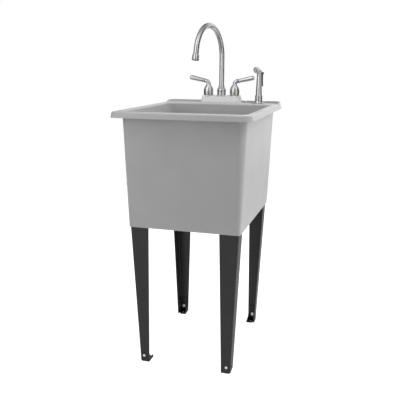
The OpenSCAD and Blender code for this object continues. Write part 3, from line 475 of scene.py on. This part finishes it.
def lock_screws(metal):
    shank, head, socket, nut, washer = 2.9 * MM, 5.1 * MM, 1.6 * MM, 5.6 * MM, 6.4 * MM
    head_high, nut_high, washer_thick, bevel, tail = 3.2 * MM, 3.9 * MM, MM, 0.5 * MM, 6 * MM
    back = -LOCK_GRIP
    screw_form = turned([
        (shank, back - tail, 0),
        (shank, 0, 0),
        (head, 0, 0),
        (head, bevel, 0),
        (head * 0.9, head_high * 0.6, 0),
        (head * 0.7, head_high * 0.88, 0),
        (head * 0.48, head_high, 0),
        (socket, head_high, 6),
        (socket, head_high / 2, 6),
    ])
    nut_top = back - washer_thick
    washer_rings = [(shank, back, 0), (washer, back, 0), (washer, nut_top, 0), (shank, nut_top, 0)]
    washer_form = turned(washer_rings, True)
    nut_low = nut_top - nut_high
    nut_form = turned([
        (shank, nut_top, 0),
        (nut * 0.86, nut_top, 0),
        (nut, nut_top - bevel, 6),
        (nut, nut_low + bevel, 6),
        (nut * 0.86, nut_low, 0),
        (shank, nut_low, 0),
    ], True)
    forms = {"screw": screw_form, "washer": washer_form, "nut": nut_form}
    for end, front in (("front", -1), ("rear", 1)):
        for side, right in (("left", -1), ("right", 1)):
            outer = leg_corner(f"leg_{end}_{side}", right, front, LOCK_HEIGHT)
            place = facing((outer.x - right * LOCK_INSET, outer.y, LOCK_HEIGHT), (0, front, 0))
            for kind, (vertices, faces) in forms.items():
                piece(f"lock_{kind}_{end}_{side}", vertices, faces, metal, place, "base")


# Screw threads, each one raised helix of three corners that fades out over half a turn at both ends
def thread(name, radius, pitch, start, length, material):
    steps = 36
    fade = steps / 2
    crest, root = 0.5 * MM, -0.2 * MM
    root_low, middle_up, root_high = 0.08, 0.5, 0.92
    count = int((length / pitch - 1) * steps)
    vertices, faces = [], []
    for step in range(count + 1):
        turn = 2 * math.pi * step / steps
        grown = min(1, step / fade, (count - step) / fade)
        corners = ((root, root_low), (crest * grown, middle_up), (root, root_high))
        for out, up in corners:
            reach = radius + out
            vertices.append((reach * math.cos(turn), reach * math.sin(turn), pitch * (up + step / steps)))
        if step:
            low = 3 * (step - 1)
            faces += [(low + a, low + b, low + 3 + b, low + 3 + a) for a, b in ((0, 1), (1, 2), (2, 0))]
    faces += [(0, 1, 2), (3 * count, 3 * count + 1, 3 * count + 2)]
    piece(name, vertices, faces, material, Matrix.Translation(start), "base")


def threads(looks):
    brass = looks["valve_brass"]
    faucet = middle("spout_nut").y
    shank_foot = bottom("valve_body")
    for side in ("hot", "cold"):
        start = (middle(f"{side}_locknut").x, faucet, shank_foot + 1.5 * MM)
        thread(f"{side}_shank_thread", 10.45 * MM, 1.8 * MM, start, 24 * MM, brass)
    start = (0, faucet, shank_foot + 14.5 * MM)
    thread("nipple_thread", 6.8 * MM, 1.4 * MM, start, 9 * MM, brass)
    holder = middle("spray_holder_nut")
    start = (holder.x, holder.y, bottom("spray_holder") + MM)
    thread("holder_thread", 12.1 * MM, 2.2 * MM, start, 20 * MM, looks["faucet_metal"])
    drain = middle("drain_locknut")
    start = (drain.x, drain.y, bottom("drain_strainer") + 5 * MM)
    length = bottom("drain_locknut") - start[2] + 2 * MM
    thread("drain_thread", 22.2 * MM, 2.4 * MM, start, length, looks["drain_steel"])


# Nozzles of the side spray, in the holes of its face and of the same plastic
def nozzles(plastic):
    place = facing(*widest_flat("spray_face", (0, -1, 0)))
    peg = turned([(0.62 * MM, -1.2 * MM, 0), (0.6 * MM, 0.5 * MM, 0), (0.38 * MM, 0.9 * MM, 0)], steps=16)
    for count, radius in ((8, 6.4), (4, 3.0)):
        ring_of(f"nozzles_{count}", peg, count, radius * MM, plastic, place, "sprayer")


# Aerator: a ribbed grip round its collar, and a woven screen in its mouth
def dress_aerator(nickel, steel):
    place = facing(*widest_flat("aerator", (0, 0, -1)))
    rib = block((-0.3 * MM, -0.45 * MM, -1.2 * MM), (0.35 * MM, 0.45 * MM, 2.0 * MM))
    ring_of("aerator_grip", rib, 36, 12.3 * MM, nickel, place, "spout")
    wire, pitch, reach = 0.14 * MM, 1.1 * MM, 9.4 * MM
    rows = int(reach / pitch)
    vertices, faces = [], []
    for row in range(-rows, rows + 1):
        across = row * pitch
        half = math.sqrt(reach**2 - across**2)
        for low, high in (
            ((across - wire, -half, 0.5 * MM), (across + wire, half, 0.8 * MM)),
            ((-half, across - wire, 0.7 * MM), (half, across + wire, 1.0 * MM)),
        ):
            corners, sides = block(low, high)
            faces += [tuple(len(vertices) + corner for corner in side) for side in sides]
            vertices += corners
    piece("aerator_screen", vertices, faces, steel, place, "spout")


# Grip ribs round the hose nut at the wand's foot
def hose_nut_grip(plated):
    nut = middle("spray_hose_nut")
    rib = block((-0.4 * MM, -0.7 * MM, 1.5 * MM), (0.5 * MM, 0.7 * MM, 9.5 * MM))
    place = Matrix.Translation((nut.x, nut.y, bottom("spray_hose_nut")))
    ring_of("hose_nut_grip", rib, 20, 9.0 * MM, plated, place, "sprayer")


# Studio: white to the camera, an even low level for the light on the object, and a room for its reflections.
# The lamps are hidden from reflections, so the room alone draws the light strips and dark edges of the metal.
def light_studio():
    scene = bpy.context.scene
    world = bpy.data.worlds.new("studio")
    scene.world = world
    world.use_nodes = True
    tree = world.node_tree
    tree.nodes.clear()
    path = add(tree, "ShaderNodeLightPath").outputs
    seen = calculate(tree, "MAXIMUM", path["Is Camera Ray"], path["Is Transmission Ray"])
    room = reflected_room(tree)
    unseen = add(tree, "ShaderNodeMix", {"Factor": path["Is Glossy Ray"], "A": AMBIENT, "B": room})
    level = add(tree, "ShaderNodeMix", {"Factor": seen, "A": unseen.outputs["Result"], "B": 1.0})
    strength = level.outputs["Result"]
    background = add(tree, "ShaderNodeBackground", {"Color": (1, 1, 1, 1), "Strength": strength})
    add(tree, "ShaderNodeOutputWorld", {"Surface": background.outputs["Background"]})
    for (azimuth, height), watts in LAMPS.items():
        turn, lift = math.radians(azimuth), math.radians(height)
        side = Vector((math.cos(turn) * math.cos(lift), math.sin(turn) * math.cos(lift), math.sin(lift)))
        place = TUB_MIDDLE + side * LAMP_REACH
        lamp(f"lamp_{len(bpy.data.lights)}", place, TUB_MIDDLE, LAMP_SIZE, watts)
    lamp("lip_lamp", (-0.8, -0.9, 1.05), (-0.15, -0.29, 0.8), 0.4, 1.8)
    block_spot((0, -0.34, 0.93), (0, 0.214, 0.876), 0.077, 0.011, 6.4)


def reflected_room(tree):
    """Brightness of the room by direction: the sum of the fields in ROOM."""
    way = add(tree, "ShaderNodeTexCoord").outputs["Generated"]
    flat = add(tree, "ShaderNodeVectorMath", {0: way, 1: (1, 1, 0)}, operation="MULTIPLY").outputs["Vector"]
    flat = add(tree, "ShaderNodeVectorMath", {0: flat}, operation="NORMALIZE").outputs["Vector"]
    rise = add(tree, "ShaderNodeSeparateXYZ", {"Vector": way}).outputs["Z"]
    total = ROOM_LEVEL
    for azimuth, half, lowest, highest, bright in ROOM.values():
        turn = math.radians(azimuth)
        aim = (math.cos(turn), math.sin(turn), 0)
        near = add(tree, "ShaderNodeVectorMath", {0: flat, 1: aim}, operation="DOT_PRODUCT").outputs["Value"]
        outside, inside = math.radians(half + ROOM_FADE), math.radians(half - ROOM_FADE)
        masks = [bright, upward_step(tree, rise, lowest - ROOM_FADE, lowest + ROOM_FADE)]
        if highest + ROOM_FADE < 90:
            masks.append(upward_step(tree, rise, highest + ROOM_FADE, highest - ROOM_FADE))
        part = step_up(tree, near, math.cos(outside), math.cos(inside))
        for mask in masks:
            part = calculate(tree, "MULTIPLY", part, mask)
        total = calculate(tree, "ADD", part, total)
    return total


def calculate(tree, operation, *values):
    """One step of arithmetic on numbers or sockets."""
    return add(tree, "ShaderNodeMath", dict(enumerate(values)), operation=operation).outputs[0]


def step_up(tree, value, start, end):
    """A soft step from 0 at start to 1 at end."""
    ends = {"From Min": start, "From Max": end}
    step = add(tree, "ShaderNodeMapRange", {"Value": value, **ends}, interpolation_type="SMOOTHSTEP")
    return step.outputs["Result"]


def upward_step(tree, rise, start, end):
    """A soft step in the height of a direction, between two angles above the horizon in degrees."""
    return step_up(tree, rise, math.sin(math.radians(start)), math.sin(math.radians(end)))


def hang(name, data, place, target, watts):
    """Hang a lamp at a place, turned to a target, where neither the camera nor reflections see it."""
    data.energy = watts
    light = bpy.data.objects.new(name, data)
    aim = Vector(target) - Vector(place)
    light.matrix_world = Matrix.Translation(place) @ aim.to_track_quat("-Z", "Y").to_matrix().to_4x4()
    bpy.context.scene.collection.objects.link(light)
    light.visible_camera = False
    light.visible_glossy = False


def lamp(name, place, target, size, watts):
    data = bpy.data.lights.new(name, "AREA")
    data.shape = "RECTANGLE"
    data.size = size
    data.size_y = size
    hang(name, data, place, target, watts)


def block_spot(place, target, half_wide, half_high, watts):
    """A spot masked to the faucet block's front, so that the basin's wall below it stays as it is."""
    data = bpy.data.lights.new("block_spot", "SPOT")
    data.spot_size = math.radians(40)
    data.spot_blend = 0.2
    data.shadow_soft_size = 4 * MM
    data.use_nodes = True
    tree = data.node_tree
    tree.nodes.clear()
    way = add(tree, "ShaderNodeTexCoord").outputs["Normal"]
    parts = add(tree, "ShaderNodeSeparateXYZ", {"Vector": way}).outputs
    reach = (Vector(target) - Vector(place)).length
    fade = 3 * MM
    inside = 1.0
    for axis, half in (("X", half_wide), ("Y", half_high)):
        slope = calculate(tree, "ABSOLUTE", calculate(tree, "DIVIDE", parts[axis], parts["Z"]))
        mask = step_up(tree, slope, (half + fade) / reach, (half - fade) / reach)
        inside = calculate(tree, "MULTIPLY", mask, inside)
    glow = add(tree, "ShaderNodeEmission", {"Strength": inside}).outputs["Emission"]
    add(tree, "ShaderNodeOutputLight", {"Surface": glow})
    hang("block_spot", data, place, target, watts)


# Pale floor: white to the camera, dim in reflections, and lit by the lamps for the light that it sends up
def lay_floor():
    mesh = bpy.data.meshes.new("floor")
    reach, camera_glow, mirror_glow = 2.5, 0.82, 0.25
    corners = [(reach * x, reach * y, 0) for x, y in ((-1, -1), (1, -1), (1, 1), (-1, 1))]
    mesh.from_pydata(corners, [], [(0, 1, 2, 3)])
    floor = bpy.data.objects.new("floor", mesh)
    bpy.context.scene.collection.objects.link(floor)
    floor.location.z = -0.5 * MM
    material = bpy.data.materials.new("pale_floor")
    material.use_nodes = True
    tree = material.node_tree
    tree.nodes.clear()
    path = add(tree, "ShaderNodeLightPath").outputs
    matt = add(tree, "ShaderNodeBsdfDiffuse", {"Color": colour("#E8E8E8")}).outputs["BSDF"]
    glow = calculate(tree, "MULTIPLY", path["Is Camera Ray"], camera_glow)
    glow = calculate(tree, "MULTIPLY_ADD", path["Is Glossy Ray"], mirror_glow, glow)
    white = add(tree, "ShaderNodeEmission", {"Color": (1, 1, 1, 1), "Strength": glow}).outputs["Emission"]
    both = add(tree, "ShaderNodeAddShader", {0: matt, 1: white}).outputs["Shader"]
    add(tree, "ShaderNodeOutputMaterial", {"Surface": both})
    mesh.materials.append(material)


place_camera()
finishes = dress_nodes()
RING_TREE = ring_tree()
lock_screws(finishes["screw_steel"])
threads(finishes)
nozzles(NODES["spray_face"].material_slots[0].material)
dress_aerator(finishes["faucet_metal"], finishes["drain_steel"])
hose_nut_grip(finishes["faucet_metal"])
light_studio()
lay_floor()
bpy.context.scene.view_settings.view_transform = "Standard"
